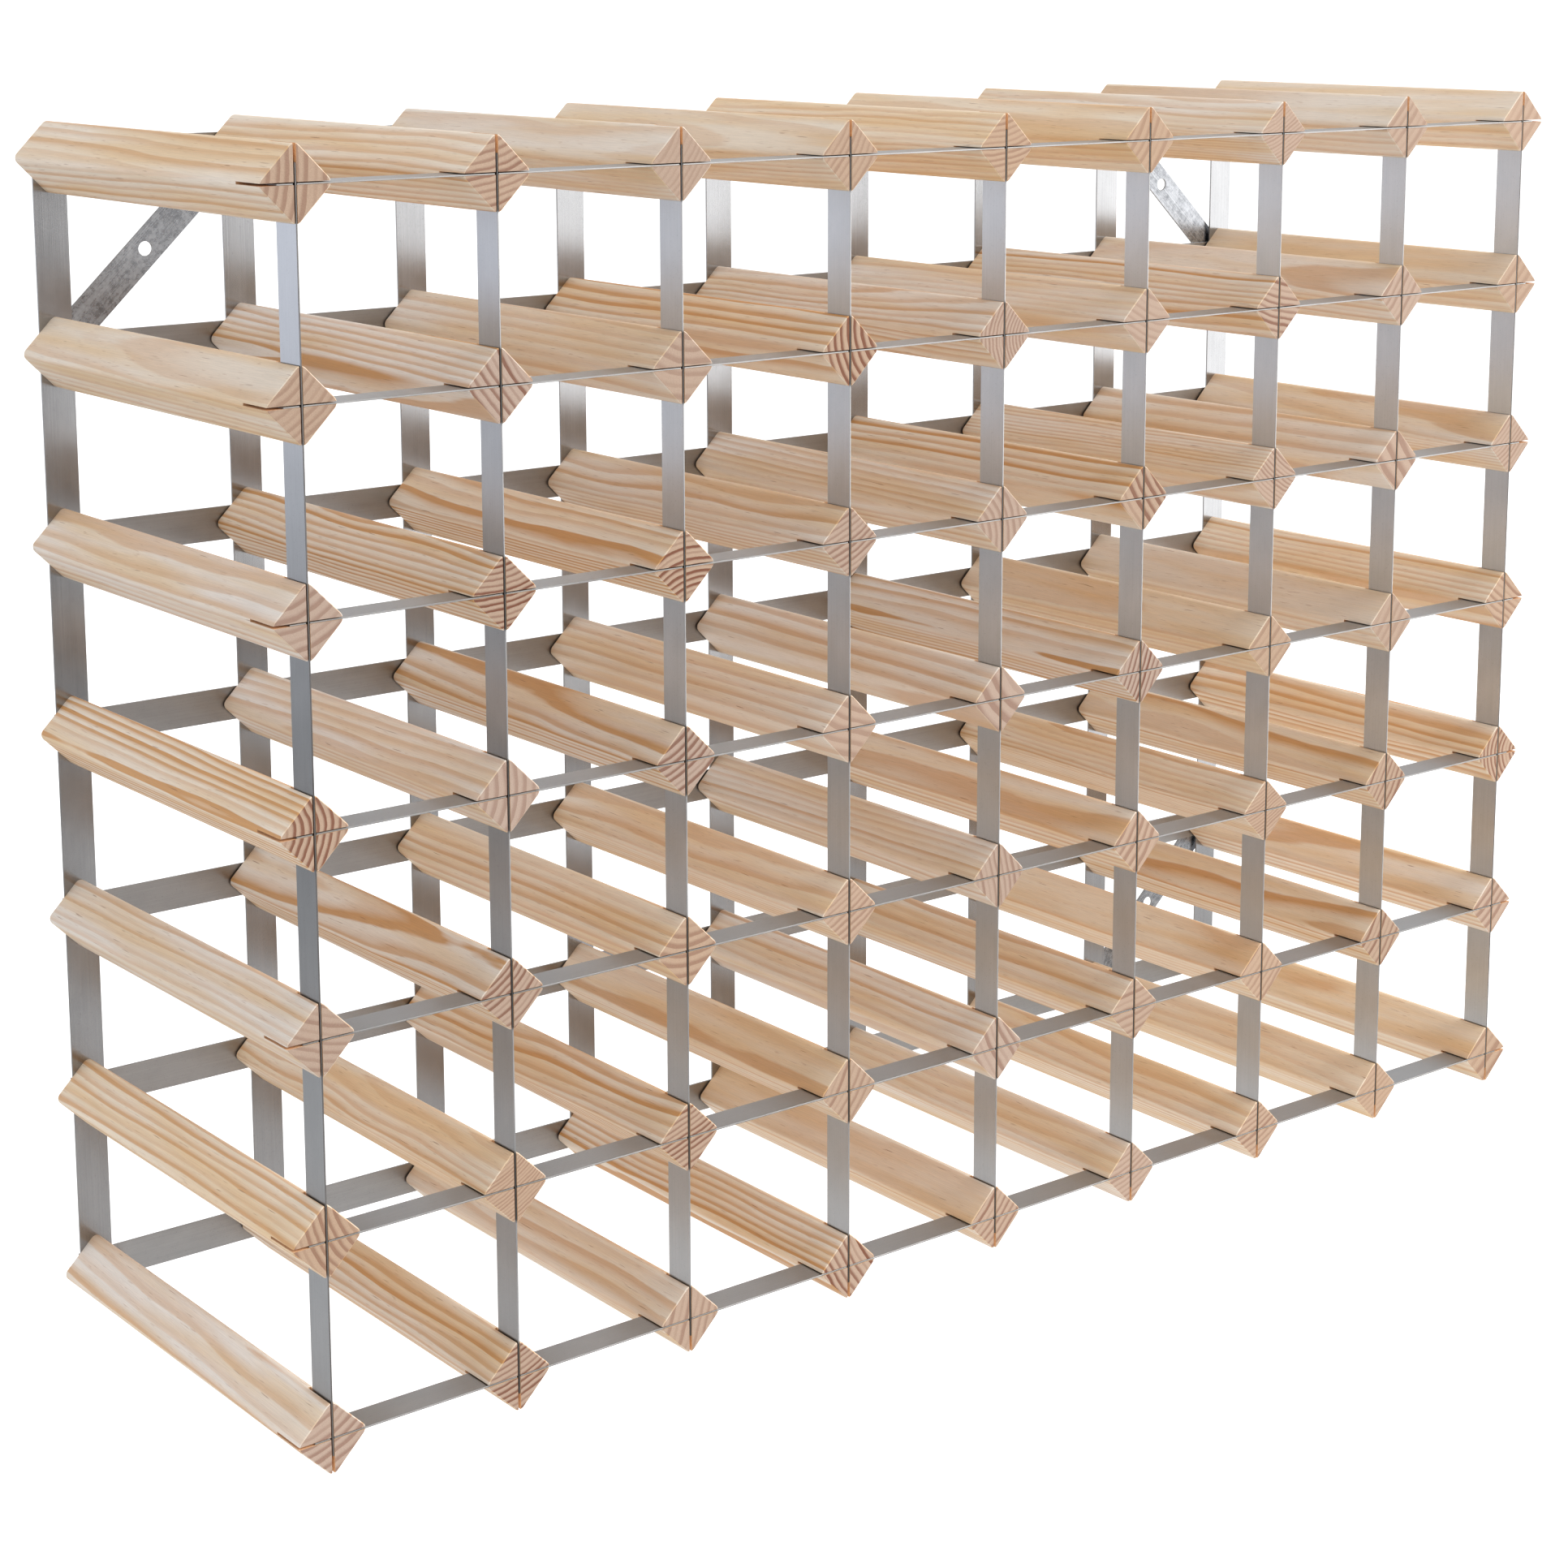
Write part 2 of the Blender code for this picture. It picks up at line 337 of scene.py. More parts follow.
def steel(name, dark, light, spangle, roughness, painted_kerf_shade_level=1.0):
    """Galvanised steel between two greys. The attribute "run" is the place on the strip in mm.

    spangle is the share of the fine mottle; a kerf level below 1 paints shade, darkening the
    colour to that level where the strip lies in the saw kerfs.
    """
    dark, light = (*dark, 1.0), (*light, 1.0)
    material, graph, shader = new_material(name, light)
    run = graph.attribute("run")
    rolled = graph.noise(graph.scale(run, (0.012, 1.9, 1.0)), detail=3.0, roughness=0.6)
    cloud = graph.noise(graph.scale(run, (0.045, 0.08, 1.0)), detail=4.0, roughness=0.6)
    mottle = graph.noise(graph.scale(run, (0.34, 0.38, 1.0)), detail=4.0, roughness=0.7)
    level = graph.math("MULTIPLY_ADD", mottle, spangle, graph.math("MULTIPLY", rolled, 0.5))
    level = graph.math("MULTIPLY_ADD", cloud, 0.5, level)
    level = graph.math("SUBTRACT", level, spangle / 2)
    speck = graph.noise(graph.scale(run, (1.3, 1.5, 1.0)), detail=1.0)
    colour = graph.mix(graph.levels(level, [(0.3, 0.0), (0.7, 1.0)]), dark, light)
    shade = graph.levels(speck, [(0.68, 1.0), (0.76, 0.80)])
    colour = graph.mix(1.0, colour, shade, "MULTIPLY")
    # Painted shade: the colour is darkened where the strip runs through the bars' kerfs, by a
    # pattern tied to the rows rather than by real depth.
    if painted_kerf_shade_level < 1.0:
        kerf_shade_colour = (painted_kerf_shade_level, painted_kerf_shade_level, painted_kerf_shade_level, 1.0)
        shadow = graph.mix(kerf_shade_mask(graph), (1.0, 1.0, 1.0, 1.0), kerf_shade_colour)
        colour = graph.mix(1.0, colour, shadow, "MULTIPLY")
    graph.feed(shader.inputs["Base Color"], colour)
    shader.inputs["Metallic"].default_value = 1.0
    smooth, rough = roughness
    level = graph.math("MULTIPLY_ADD", level, rough - smooth, smooth)
    graph.feed(shader.inputs["Roughness"], level)
    bump = graph.node("ShaderNodeBump", Strength=0.06, Distance=0.0002, Height=rolled)
    graph.feed(shader.inputs["Normal"], bump.outputs[0])
    return material


WOOD_SIDE, WOOD_END, WOOD_KERF = pine_side(), pine_end(), pine_kerf()
STRIP_FACE = steel(
    "galvanised_strip", dark=(0.32, 0.33, 0.345), light=(0.38, 0.39, 0.405),
    spangle=0.12, roughness=(0.27, 0.36),
)
# A lighter copy of the strip steel for the front uprights past the second column: painted light,
# standing in for the brighter light those uprights catch.
STRIP_FACE_PAINTED_LIGHT = steel(
    "galvanised_strip_painted_light", dark=(0.42, 0.44, 0.46), light=(0.49, 0.51, 0.53),
    spangle=0.12, roughness=(0.27, 0.36),
)
STRIP_REAR = steel(
    "galvanised_strip_rear", dark=(0.31, 0.31, 0.315), light=(0.38, 0.38, 0.385),
    spangle=0.12, roughness=(0.15, 0.23),
)
RAIL_REAR = steel(
    "galvanised_rail_rear", dark=(0.33, 0.328, 0.328), light=(0.41, 0.405, 0.405),
    spangle=0.12, roughness=(0.28, 0.38),
)
STRIP_EDGE = steel(
    "galvanised_cut_edge", dark=(0.26, 0.255, 0.25), light=(0.40, 0.395, 0.39),
    spangle=0.10, roughness=(0.34, 0.50),
)
# A darker copy of the cut edge for the outermost front uprights: painted shade on the same steel.
STRIP_EDGE_PAINTED_SHADE = steel(
    "galvanised_cut_edge_painted_shade", dark=(0.13, 0.125, 0.12), light=(0.22, 0.21, 0.205),
    spangle=0.10, roughness=(0.40, 0.55),
)
# The inner front uprights' cut edges, with painted shade where they run through the bars' kerfs.
UPRIGHT_EDGE_PAINTED_KERF_SHADE = steel(
    "galvanised_upright_edge_painted_kerf_shade", dark=(0.30, 0.30, 0.30), light=(0.46, 0.46, 0.46),
    spangle=0.10, roughness=(0.34, 0.50), painted_kerf_shade_level=0.25,
)
BRACE_FACE = steel(
    "galvanised_spangle", dark=(0.17, 0.175, 0.185), light=(0.41, 0.42, 0.44),
    spangle=0.9, roughness=(0.18, 0.38),
)
NAIL_STEEL = steel(
    "nail_steel", dark=(0.40, 0.40, 0.41), light=(0.60, 0.60, 0.60),
    spangle=0.20, roughness=(0.25, 0.40),
)


# ---------------------------------------------------------------- mesh helpers
# A normal's share along an axis above which a face is taken to face that way
FACING = 0.9


def link(name, mesh):
    thing = bpy.data.objects.new(name, mesh)
    bpy.context.scene.collection.objects.link(thing)
    return thing


def settle(thing, slot, *nodes):
    """Puts a finished piece on the body and hides the CAD nodes it stands for."""
    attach(thing, "root")
    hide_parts(*nodes)


def write_vectors(mesh, name, values):
    attribute = mesh.attributes.new(name, "FLOAT_VECTOR", "POINT")
    attribute.data.foreach_set("vector", [x for value in values for x in value])


def mesh_of(name, shape):
    """A mesh from a bmesh, which it frees."""
    mesh = bpy.data.meshes.new(name)
    shape.to_mesh(mesh)
    shape.free()
    return mesh


def box_shape(low, high):
    shape = bmesh.new()
    bmesh.ops.create_cube(shape, size=1.0)
    for vertex in shape.verts:
        for axis in range(3):
            vertex.co[axis] = low[axis] + (vertex.co[axis] + 0.5) * (high[axis] - low[axis])
    return shape


def slab(name, low, high):
    return link(name, mesh_of(name, box_shape(low, high)))


def rod(name, radius, length, sides=32):
    """A rod along Y, centred on the origin."""
    shape = bmesh.new()
    bmesh.ops.create_cone(
        shape, cap_ends=True, segments=sides, radius1=radius, radius2=radius, depth=length,
        matrix=Matrix.Rotation(math.pi / 2, 4, "X"),
    )
    return link(name, mesh_of(name, shape))


def carve(thing, cutters):
    """Cuts the cutters out of a mesh object, removes them, and returns the new mesh."""
    for cutter in cutters:
        modifier = thing.modifiers.new(cutter.name, "BOOLEAN")
        modifier.operation = "DIFFERENCE"
        modifier.object = cutter
        modifier.solver = "EXACT"
    bpy.context.view_layer.update()
    graph = bpy.context.evaluated_depsgraph_get()
    mesh = bpy.data.meshes.new_from_object(thing.evaluated_get(graph))
    for waste in [thing, *cutters]:
        bpy.data.objects.remove(waste, do_unlink=True)
    return mesh


# ---------------------------------------------------------------- bars
BAR_SIDE = 0.025
ARC_STEPS = 5
# A narrow strip of flat side beside each arc, so that smooth shading stops there
SUPPORT = 0.0008
END_EASE = 0.0004
KERF_TALL = 0.0015
KERF_FLAT = 0.0012
KERF_DEPTH = 0.0195
# How far a bar's rear end runs on past its place in the frame, to meet the rear uprights
BEDDED = 0.0008
# For telling a kerf's walls by their place
NEARLY = 0.00002
WOOD_CREASE = math.radians(32)
half_arc = math.cos(math.pi / 4 / ARC_STEPS)
ARC_RADIUS = (BAR_SIDE / 2 * math.sqrt(2) - BAR_TIP) / (math.sqrt(2) - half_arc)


def bar_section(inset):
    """The outline of a bar on edge, drawn in by inset."""
    points = []
    reach = (BAR_SIDE / 2 - ARC_RADIUS) * math.sqrt(2)
    radius = ARC_RADIUS - inset
    for corner in range(4):
        facing = corner * math.pi / 2
        centre = Vector((math.cos(facing), math.sin(facing))) * reach
        start, stop = facing - math.pi / 4, facing + math.pi / 4
        first = centre + Vector((math.cos(start), math.sin(start))) * radius
        last = centre + Vector((math.cos(stop), math.sin(stop))) * radius
        points.append(first + Vector((math.sin(start), -math.cos(start))) * SUPPORT)
        for step in range(ARC_STEPS + 1):
            angle = start + (stop - start) * step / ARC_STEPS
            points.append(centre + Vector((math.cos(angle), math.sin(angle))) * radius)
        points.append(last + Vector((-math.sin(stop), math.cos(stop))) * SUPPORT)
    return points


def bar_template():
    """One bar centred on the origin with its front end cross-cut."""
    shape = bmesh.new()
    half = BAR_LENGTH / 2
    stations = [
        (-half, END_EASE), (-half + END_EASE, 0),
        (half + BEDDED - END_EASE, 0), (half + BEDDED, END_EASE),
    ]
    loops = []
    for y, inset in stations:
        loops.append([shape.verts.new((p.x, y, p.y)) for p in bar_section(inset)])
    for a, b in zip(loops, loops[1:]):
        for i in range(len(a)):
            j = (i + 1) % len(a)
            shape.faces.new((a[i], a[j], b[j], b[i]))
    shape.faces.new(loops[0])
    shape.faces.new(loops[-1])
    bmesh.ops.recalc_face_normals(shape, faces=shape.faces)
    thing = link("bar_template", mesh_of("bar_template", shape))
    wide, inner = BAR_SIDE, -half + KERF_DEPTH
    flat = slab("kerf_flat", (-wide, -half - wide, -KERF_FLAT / 2), (wide, inner, KERF_FLAT / 2))
    tall = slab("kerf_tall", (-KERF_TALL / 2, -half - wide, -wide), (KERF_TALL / 2, inner, wide))
    mesh = carve(thing, [flat, tall])
    mesh.materials.clear()
    for material in (WOOD_SIDE, WOOD_END, WOOD_KERF):
        mesh.materials.append(material)
    for face in mesh.polygons:
        centre, normal = face.center, face.normal
        in_kerf = centre.y < inner + NEARLY and (
            (abs(abs(centre.x) - KERF_TALL / 2) < NEARLY and abs(normal.x) > FACING)
            or (abs(abs(centre.z) - KERF_FLAT / 2) < NEARLY and abs(normal.z) > FACING)
            or abs(centre.y - inner) < NEARLY
        )
        if in_kerf:
            face.material_index = 2
        elif abs(normal.y) > FACING:
            face.material_index = 1
        else:
            face.material_index = 0
    mesh.shade_smooth()
    mesh.set_sharp_from_angle(angle=WOOD_CREASE)
    return mesh


# The end of each bar as the photograph shows it, read top row first: the angle of its
# growth rings from level in degrees, their spacing in mm, how strong they are and, where they
# curve, how far off their pith is in mm
RINGS_SEEN = (
    ((82, 4.0, 0.55, 70), (22, 3.0, 0.85), (55, 2.4, 0.2), (58, 2.6, 0.4), (12, 2.6, 0.5),
     (62, 3.0, 0.35), (38, 1.8, 0.4), (55, 2.6, 0.3), (60, 3.2, 0.25)),
    ((45, 3.4, 0.35, 45), (-60, 3.3, 1.1), (-10, 5.0, 0.4, 60), (285, 3.4, 1.2, 34),
     (270, 1.7, 0.6, 20), (-30, 3.4, 0.3), (-16, 3.3, 1.0), (60, 2.5, 0.45), (50, 3.0, 0.25)),
    ((30, 4.2, 0.55, 50), (8, 2.5, 1.25), (202, 2.7, 1.25, 45), (34, 2.6, 0.75),
     (100, 3.0, 0.45, 30), (-60, 3.1, 1.0), (-38, 2.1, 0.6), (-60, 5.0, 0.55), (50, 1.5, 0.45)),
    ((80, 3.1, 1.15, 26), (84, 4.0, 0.45, 40), (38, 3.3, 1.0, 60), (-25, 5.0, 0.4),
     (-50, 6.0, 0.6, 45), (72, 2.1, 1.2), (50, 2.5, 0.35), (62, 3.2, 0.25), (-45, 3.5, 0.7)),
    ((-20, 3.6, 0.5), (45, 2.8, 1.0, 50), (0, 4.4, 0.6, 32), (40, 2.6, 0.5), (100, 2.8, 0.6),
     (65, 3.2, 0.6), (35, 1.7, 0.55), (65, 2.1, 0.9), (270, 1.7, 1.0, 18)),
    ((-65, 3.5, 0.7, 60), (40, 1.6, 0.55), (30, 2.6, 1.1), (60, 3.2, 0.6), (-65, 3.5, 0.65),
     (20, 3.5, 0.6), (55, 2.2, 0.5), (65, 2.3, 0.9), (50, 2.8, 0.65)),
    ((28, 4.0, 0.65, 60), (22, 2.6, 1.15), (75, 3.5, 0.55), (-60, 3.0, 1.25), (52, 3.0, 0.9),
     (30, 3.0, 0.5), (36, 3.0, 0.7), (42, 3.0, 0.3), (50, 3.5, 0.55)),
)
# Where the rings look straight
PITH_FAR = 80
# Roughly how wide a bar's end looks beside its height in the photograph, column by column
END_ASPECT = (0.96, 0.94, 0.92, 0.88, 0.85, 0.81, 0.78, 0.74, 0.71)
# Rings that look steeper than this have their spacing foreshortened
STEEP = 45
# Corrections to the readings, chosen by comparing renders with the photograph
SPACING_GAIN = 1.08
FAR_GAIN = 1.2
FIRST_FAR_COLUMN = 6
SHALLOW, SHALLOW_EXCESS = (15, 50), 5


def ring_figure(column, row):
    """A bar's real rings: lie in degrees from level, spacing in mm, strength, pith in mm."""
    angle, spacing, strength, *pith = RINGS_SEEN[len(ROWS) - row][column - 1]
    aspect = END_ASPECT[column - 1]
    half_turns = 180 * round(angle / 180)
    seen = angle - half_turns
    lie = math.degrees(math.atan(math.tan(math.radians(seen)) * aspect))
    if SHALLOW[0] < seen < SHALLOW[1]:
        lie -= SHALLOW_EXCESS
    if abs(seen) > STEEP:
        spacing /= aspect
        if column >= FIRST_FAR_COLUMN:
            spacing *= FAR_GAIN
    spacing = round(spacing * SPACING_GAIN, 1)
    return round(lie) + half_turns, spacing, strength, pith[0] if pith else PITH_FAR


# How far the pith may lean from the bar's axis, mm for each mm
LEAN = 0.02


def add_bars():
    template = bar_template()
    for row in ROWS:
        for column in COLUMNS:
            draw = random.Random(1000 * row + column)
            lie, spacing, strength, away = ring_figure(column, row)
            mesh = template.copy()
            turn = math.radians(90 - lie)
            lean = (draw.uniform(-LEAN, LEAN), draw.uniform(-LEAN, LEAN))
            offset = draw.uniform(0, 4000)
            grain = []
            for vertex in mesh.vertices:
                x, y, z = (value / MM for value in vertex.co)
                u = x * math.cos(turn) - z * math.sin(turn) + away + lean[0] * y
                v = x * math.sin(turn) + z * math.cos(turn) + lean[1] * y
                grain.append((u, y + offset, v))
            write_vectors(mesh, "grain", grain)
            write_vectors(mesh, "tone", [(spacing, strength, 0.0)] * len(mesh.vertices))
            bright, warm = draw.uniform(0.95, 1.05), draw.uniform(-1, 1)
            tint = (
                bright * (1 + 0.02 * warm), bright * (1 - 0.02 * warm), bright * (1 - 0.10 * warm),
            )
            write_vectors(mesh, "tint", [tint] * len(mesh.vertices))
            name = f"bar_c{column}_r{row}"
            mesh.name = name
            mesh.transform(Matrix.Translation((COLUMN_X[column], BAR_MIDDLE, ROW_Z[row])))
            settle(link(name, mesh), "pine", bar_node(column, row))
    bpy.data.meshes.remove(template)


# ---------------------------------------------------------------- strips
EDGE_EASE = 0.00012
# Edges sharper than this, in radians, are eased
SHARP = 0.5
NOTCH = 0.0018
# Half the play between an upright and a rail, measured along their notches
NOTCH_PLAY = 0.00015
# How far the uprights lie to the right in their kerfs, and the rails below the middle of theirs
SEAT = 0.0003
RAIL_SEAT = 0.0002
STRIP_THICKNESS = 0.0007


def finish_strip(name, shape, along, across, node, materials, thick_axis, seed):
    """Turns a bmesh into a strip piece with eased edges and pattern coordinates."""
    bmesh.ops.recalc_face_normals(shape, faces=shape.faces)
    sharp = [e for e in shape.edges if len(e.link_faces) == 2 and e.calc_face_angle() > SHARP]
    bmesh.ops.bevel(
        shape, geom=sharp, offset=EDGE_EASE, offset_type="OFFSET", segments=1,
        profile=0.5, affect="EDGES",
    )
    mesh = mesh_of(name, shape)
    for material in materials:
        mesh.materials.append(material)
    for face in mesh.polygons:
        face.material_index = 0 if abs(face.normal[thick_axis]) > FACING else 1
    shift = random.Random(seed).uniform(0, 5000)
    run = []
    for vertex in mesh.vertices:
        place = [value / MM for value in vertex.co]
        run.append((place[along] + shift, place[across], shift * 0.37))
    write_vectors(mesh, "run", run)
    thing = link(name, mesh)
    settle(thing, "galvanised_steel", node)
    return thing


def outline_prism(points, place, thickness):
    """A flat outline of 2-D points turned into a prism by place(a, b, t)."""
    shape = bmesh.new()
    near = [shape.verts.new(place(a, b, -thickness / 2)) for a, b in points]
    far = [shape.verts.new(place(a, b, thickness / 2)) for a, b in points]
    shape.faces.new(near)
    shape.faces.new(list(reversed(far)))
    for i in range(len(points)):
        j = (i + 1) % len(points)
        shape.faces.new((near[i], far[i], far[j], near[j]))
    return shape


def notched(start, stop, plain, cut, middle_line, centres):
    """An outline running from start to stop along a, with notches cut in from the cut side."""
    points = [(start, plain), (stop, plain), (stop, cut)]
    for centre in sorted(centres, reverse=True):
        points += [
            (centre + NOTCH / 2, cut),
            (centre + NOTCH / 2, middle_line),
            (centre - NOTCH / 2, middle_line),
            (centre - NOTCH / 2, cut),
        ]
    points.append((start, cut))
    return points


def add_front_strips():
    low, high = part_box("front_upright_1")
    halfway = (low.y + high.y) / 2
    for column in COLUMNS:
        x = COLUMN_X[column] + SEAT
        points = notched(low.z, high.z, low.y, high.y, halfway - NOTCH_PLAY, ROW_Z.values())
        shape = outline_prism(points, lambda a, b, t, x=x: (x + t, b, a), STRIP_THICKNESS)
        node = column_node(column) if column in JOINED else f"front_upright_{column}"
        # Painted light: uprights past the second column take the lighter copy of the same steel.
        face = STRIP_FACE_PAINTED_LIGHT if column > 2 else STRIP_FACE
        # Painted shade: the outermost uprights' edges take the darker copy, and the rest have
        # painted shade in the kerfs.
        edge = STRIP_EDGE_PAINTED_SHADE if column in (1, 9) else UPRIGHT_EDGE_PAINTED_KERF_SHADE
        finish_strip(
            f"upright_front_c{column}", shape, along=2, across=1, node=node,
            materials=(face, edge), thick_axis=0, seed=100 + column,
        )
    low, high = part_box("front_rail_1")
    for row in ROWS:
        z = ROW_Z[row] - RAIL_SEAT
        points = notched(low.x, high.x, high.y, low.y, halfway + NOTCH_PLAY, COLUMN_X.values())
        shape = outline_prism(points, lambda a, b, t, z=z: (a, b, z + t), STRIP_THICKNESS)
        finish_strip(
            f"rail_front_r{row}", shape, along=0, across=1, node=f"front_rail_{row}",
            materials=(STRIP_FACE, STRIP_EDGE), thick_axis=2, seed=200 + row,
        )


def add_rear_strips():
    for column in COLUMNS:
        node = f"rear_upright_{column}"
        finish_strip(
            f"upright_rear_c{column}", box_shape(*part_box(node)), along=2, across=0, node=node,
            materials=(STRIP_REAR, STRIP_EDGE), thick_axis=1, seed=300 + column,
        )
    for row in ROWS:
        node = f"rear_rail_{row}"
        finish_strip(
            f"rail_rear_r{row}", box_shape(*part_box(node)), along=0, across=2, node=node,
            materials=(RAIL_REAR, STRIP_EDGE), thick_axis=1, seed=400 + row,
        )


# ---------------------------------------------------------------- braces and nails
# The cell that each brace crosses, by its lower left bar, and which way it rises
BRACES = {
    "top_left": (1, 6, 1), "top_right": (8, 6, -1),
    "bottom_left": (1, 1, -1), "bottom_right": (8, 1, 1),
}
BRACE_WIDTH = 0.0165
BRACE_END = 0.007
HOLE_RADIUS = 0.0035
CUTTER_LENGTH = 0.01
NAIL_RADIUS = 0.0027
NAIL_HEIGHT = 0.0008
NAIL_PLAY = 0.0001
NAIL_SIDES = 20
# A nail head's outline: shares of its radius and of its height
NAIL_PROFILE = ((1.0, 0.0), (1.0, 0.45), (0.86, 0.85), (0.55, 1.0))
# How far the nails stray from the crossings, and how the heads in the braces are sunk
NAIL_STRAY = 0.0008
SUNK_BASE = 0.0009
SUNK_TOP = 0.00005
NAIL_CREASE = math.radians(40)


def brace_nails():
    """The crossings that a brace covers, as (column, row)."""
    found = set()
    for column, row, slope in BRACES.values():
        pair = ((column, row), (column + 1, row + 1))
        found.update(pair if slope > 0 else ((column, row + 1), (column + 1, row)))
    return found


def add_braces():
    for corner, (column, row, slope) in BRACES.items():
        node = f"wall_brace_{corner}"
        low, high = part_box(node)
        wide = COLUMN_X[column + 1] - COLUMN_X[column]
        tall = ROW_Z[row + 1] - ROW_Z[row]
        half_length = math.hypot(wide, tall) / 2 + BRACE_END
        depth = high.y - low.y
        half_size = (half_length, depth / 2, BRACE_WIDTH / 2)
        blank = slab(node + "_blank", [-value for value in half_size], half_size)
        cutters = [rod("hole_middle", HOLE_RADIUS, CUTTER_LENGTH)]
        for side in (-1, 1):
            hole = rod(f"hole_end_{side}", NAIL_RADIUS + NAIL_PLAY, CUTTER_LENGTH, 24)
            hole.location.x = side * math.hypot(wide, tall) / 2
            cutters.append(hole)
        cut = carve(blank, cutters)
        turn = Matrix.Rotation(-slope * math.atan2(tall, wide), 4, "Y")
        shape = bmesh.new()
        shape.from_mesh(cut)
        bpy.data.meshes.remove(cut)
        thing = finish_strip(
            f"brace_{corner}", shape, along=0, across=2, node=node,
            materials=(BRACE_FACE, STRIP_EDGE), thick_axis=1, seed=500 + column + row,
        )
        centre = ((low.x + high.x) / 2, (low.y + high.y) / 2, (low.z + high.z) / 2)
        thing.data.transform(Matrix.Translation(centre) @ turn)


def add_head(shape, x, z, base, top):
    """A flat nail head about a line along Y, from base to top, in a bmesh."""
    loops = []
    for reach, level in NAIL_PROFILE:
        y = base + (top - base) * level
        loops.append([
            shape.verts.new((
                x + NAIL_RADIUS * reach * math.cos(2 * math.pi * k / NAIL_SIDES),
                y,
                z + NAIL_RADIUS * reach * math.sin(2 * math.pi * k / NAIL_SIDES),
            ))
            for k in range(NAIL_SIDES)
        ])
    for a, b in zip(loops, loops[1:]):
        for i in range(NAIL_SIDES):
            j = (i + 1) % NAIL_SIDES
            shape.faces.new((a[i], a[j], b[j], b[i]))
    shape.faces.new(loops[0])
    shape.faces.new(loops[-1])


def add_nails():
    """Nail heads over the rear crossings, one piece a row; the heads in braces are flush.

    The CAD leaves the nails out, so these pieces replace no node.
    """
    rail_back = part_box("rear_rail_1")[1].y
    brace_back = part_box("wall_brace_top_left")[1].y
    flush = brace_nails()
    for row in ROWS:
        shape = bmesh.new()
        for column in COLUMNS:
            draw = random.Random(7000 + 10 * row + column)
            x, z = COLUMN_X[column], ROW_Z[row]
            if (column, row) in flush:
                add_head(shape, x, z, brace_back - SUNK_BASE, brace_back - SUNK_TOP)
            else:
                x += draw.uniform(-NAIL_STRAY, NAIL_STRAY)
                z += draw.uniform(-NAIL_STRAY, NAIL_STRAY)
                add_head(shape, x, z, rail_back, rail_back + NAIL_HEIGHT)
        bmesh.ops.recalc_face_normals(shape, faces=shape.faces)
        name = f"nails_rear_r{row}"
        mesh = mesh_of(name, shape)
        mesh.materials.append(NAIL_STEEL)
        mesh.shade_smooth()
        mesh.set_sharp_from_angle(angle=NAIL_CREASE)
        write_vectors(mesh, "run", [tuple(value / MM for value in v.co) for v in mesh.vertices])
        thing = link(name, mesh)
        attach(thing, "root")


# ---------------------------------------------------------------- studio
# What the camera sees of the floor and the background
WHITE = (1.15, 1.15, 1.15, 1.0)
FLOOR_RADIUS = 3.0
FLOOR_SIDES = 96
FLOOR_GREY = (0.24, 0.24, 0.24, 1.0)
# The share of the floor's right pool that rays other than glossy ones see
DIFFUSE_SHARE = 0.16
WORLD_STRENGTH = 1.13


def add_floor():
    """White to the camera, and a grey floor with pools of light to the rack."""
    shape = bmesh.new()
    bmesh.ops.create_circle(shape, cap_ends=True, segments=FLOOR_SIDES, radius=FLOOR_RADIUS)
    mesh = mesh_of("floor", shape)
    floor = link("floor", mesh)
    floor.location.z = cad_low[2]
    material, graph, shader = new_material("floor", (0.8, 0.8, 0.8, 1))
    place = graph.split(graph.node("ShaderNodeTexCoord").outputs["Object"])
    right_pool = graph.levels(place[0], [(0.45, 0.0), (0.90, 2.0)])
    squares = graph.math("MULTIPLY", place[0], place[0])
    squares = graph.math("MULTIPLY_ADD", place[1], place[1], squares)
    reach = graph.math("DIVIDE", graph.math("SQRT", squares), FLOOR_RADIUS)
    near_pool = graph.levels(reach, [(0.10, 0.72), (0.20, 0.62), (0.38, 0.12), (1.0, 0.02)])
    back = graph.math("DIVIDE", place[1], FLOOR_RADIUS)
    rear_pool = graph.levels(back, [(0.25, 0.0), (0.80, 0.5)])
    glow = graph.math("ADD", near_pool, rear_pool)
    path = graph.node("ShaderNodeLightPath").outputs
    glossy_gain = 1.0 - DIFFUSE_SHARE
    share = graph.math("MULTIPLY_ADD", path["Is Glossy Ray"], glossy_gain, DIFFUSE_SHARE)
    glow = graph.math("MAXIMUM", glow, graph.math("MULTIPLY", right_pool, share))
    level = graph.mix(path["Is Camera Ray"], graph.join(glow, glow, glow), WHITE)
    shader.inputs["Base Color"].default_value = FLOOR_GREY
    shader.inputs["Roughness"].default_value = 0.9
    shader.inputs["Specular IOR Level"].default_value = 0.0
    graph.feed(shader.inputs["Emission Color"], level)
    shader.inputs["Emission Strength"].default_value = 1.0
    mesh.materials.append(material)


def add_area(name, place, aim, size, power, colour):
    light = bpy.data.lights.new(name, "AREA")
    light.shape = "RECTANGLE"
    light.size, light.size_y = size
    light.energy = power
    light.color = colour
    thing = bpy.data.objects.new(name, light)
    thing.location = place
    thing.rotation_euler = (Vector(aim) - Vector(place)).to_track_quat("-Z", "Y").to_euler()
    bpy.context.scene.collection.objects.link(thing)


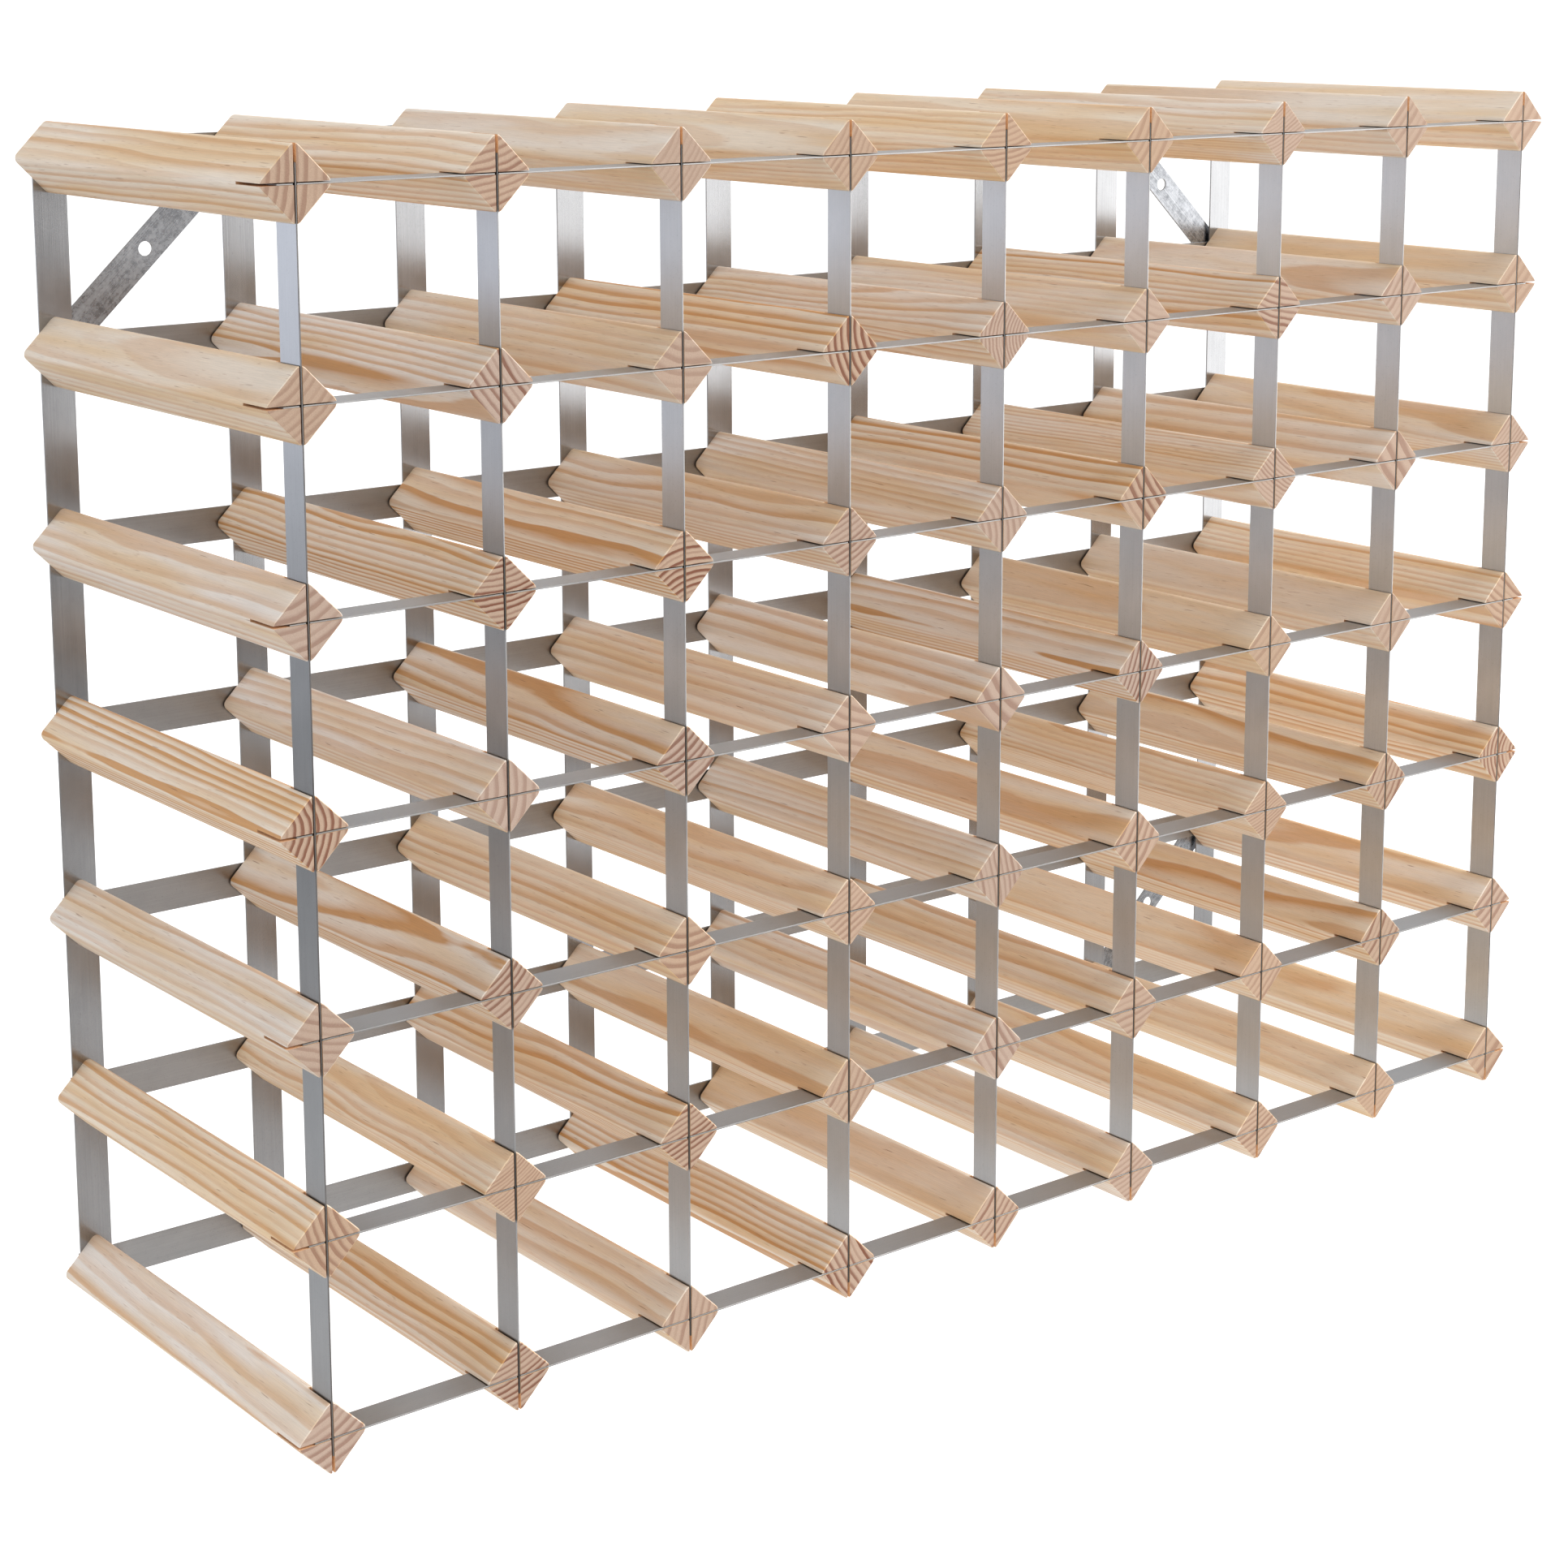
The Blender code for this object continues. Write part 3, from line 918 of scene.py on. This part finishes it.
def add_world():
    """A soft studio round the rack, in which turn is 0.5 in front, 0.75 at +X and 0 behind."""
    world = bpy.data.worlds.new("studio")
    world.use_nodes = True
    bpy.context.scene.world = world
    graph = Graph(world.node_tree)
    background = world.node_tree.nodes["Background"]
    direction = graph.split(graph.node("ShaderNodeTexCoord").outputs["Generated"])
    seen = graph.node("ShaderNodeLightPath").outputs["Is Camera Ray"]
    angle = graph.math("ARCTAN2", direction[0], graph.math("MULTIPLY", direction[1], -1.0))
    turn = graph.math("MULTIPLY_ADD", angle, 0.5 / math.pi, 0.5)
    round_about = graph.ramp(turn, [
        (0.00, (0.75, 0.75, 0.76)),
        (0.25, (0.50, 0.51, 0.53)),
        (0.36, (0.55, 0.56, 0.58)),
        (0.47, (0.45, 0.45, 0.46)),
        (0.52, (0.34, 0.33, 0.33)),
        (0.569, (0.60, 0.59, 0.59)),
        (0.594, (2.35, 2.35, 2.35)),
        (0.62, (2.45, 2.45, 2.45)),
        (0.66, (1.95, 1.95, 1.95)),
        (0.71, (1.10, 1.10, 1.10)),
        (0.84, (0.80, 0.80, 0.80)),
        (1.00, (0.75, 0.75, 0.76)),
    ])
    rise = graph.levels(direction[2], [(0.10, 1.0), (0.22, 0.0)])
    behind = graph.levels(turn, [(0.20, 1.0), (0.30, 0.0)])
    band = graph.math("MULTIPLY", rise, behind)
    window = graph.ramp(turn, [(0.07, (1.40, 1.45, 1.60)), (0.14, (1.45, 1.48, 1.60))])
    studio = graph.mix(band, round_about, window)
    colour = graph.mix(seen, studio, WHITE)
    graph.feed(background.inputs["Color"], colour)
    background.inputs["Strength"].default_value = WORLD_STRENGTH


add_bars()
add_front_strips()
add_rear_strips()
add_braces()
add_nails()
add_floor()
add_world()
add_area(
    "fill", place=(-2.6, -0.55, 1.1), aim=(0, 0, 0.28), size=(2.0, 1.6), power=9.5,
    colour=(0.84, 0.91, 1.0),
)
add_area(
    "key", place=(1.6, -1.9, 1.6), aim=(0.2, 0, 0.3), size=(1.1, 1.2), power=44,
    colour=(1.0, 0.99, 0.97),
)
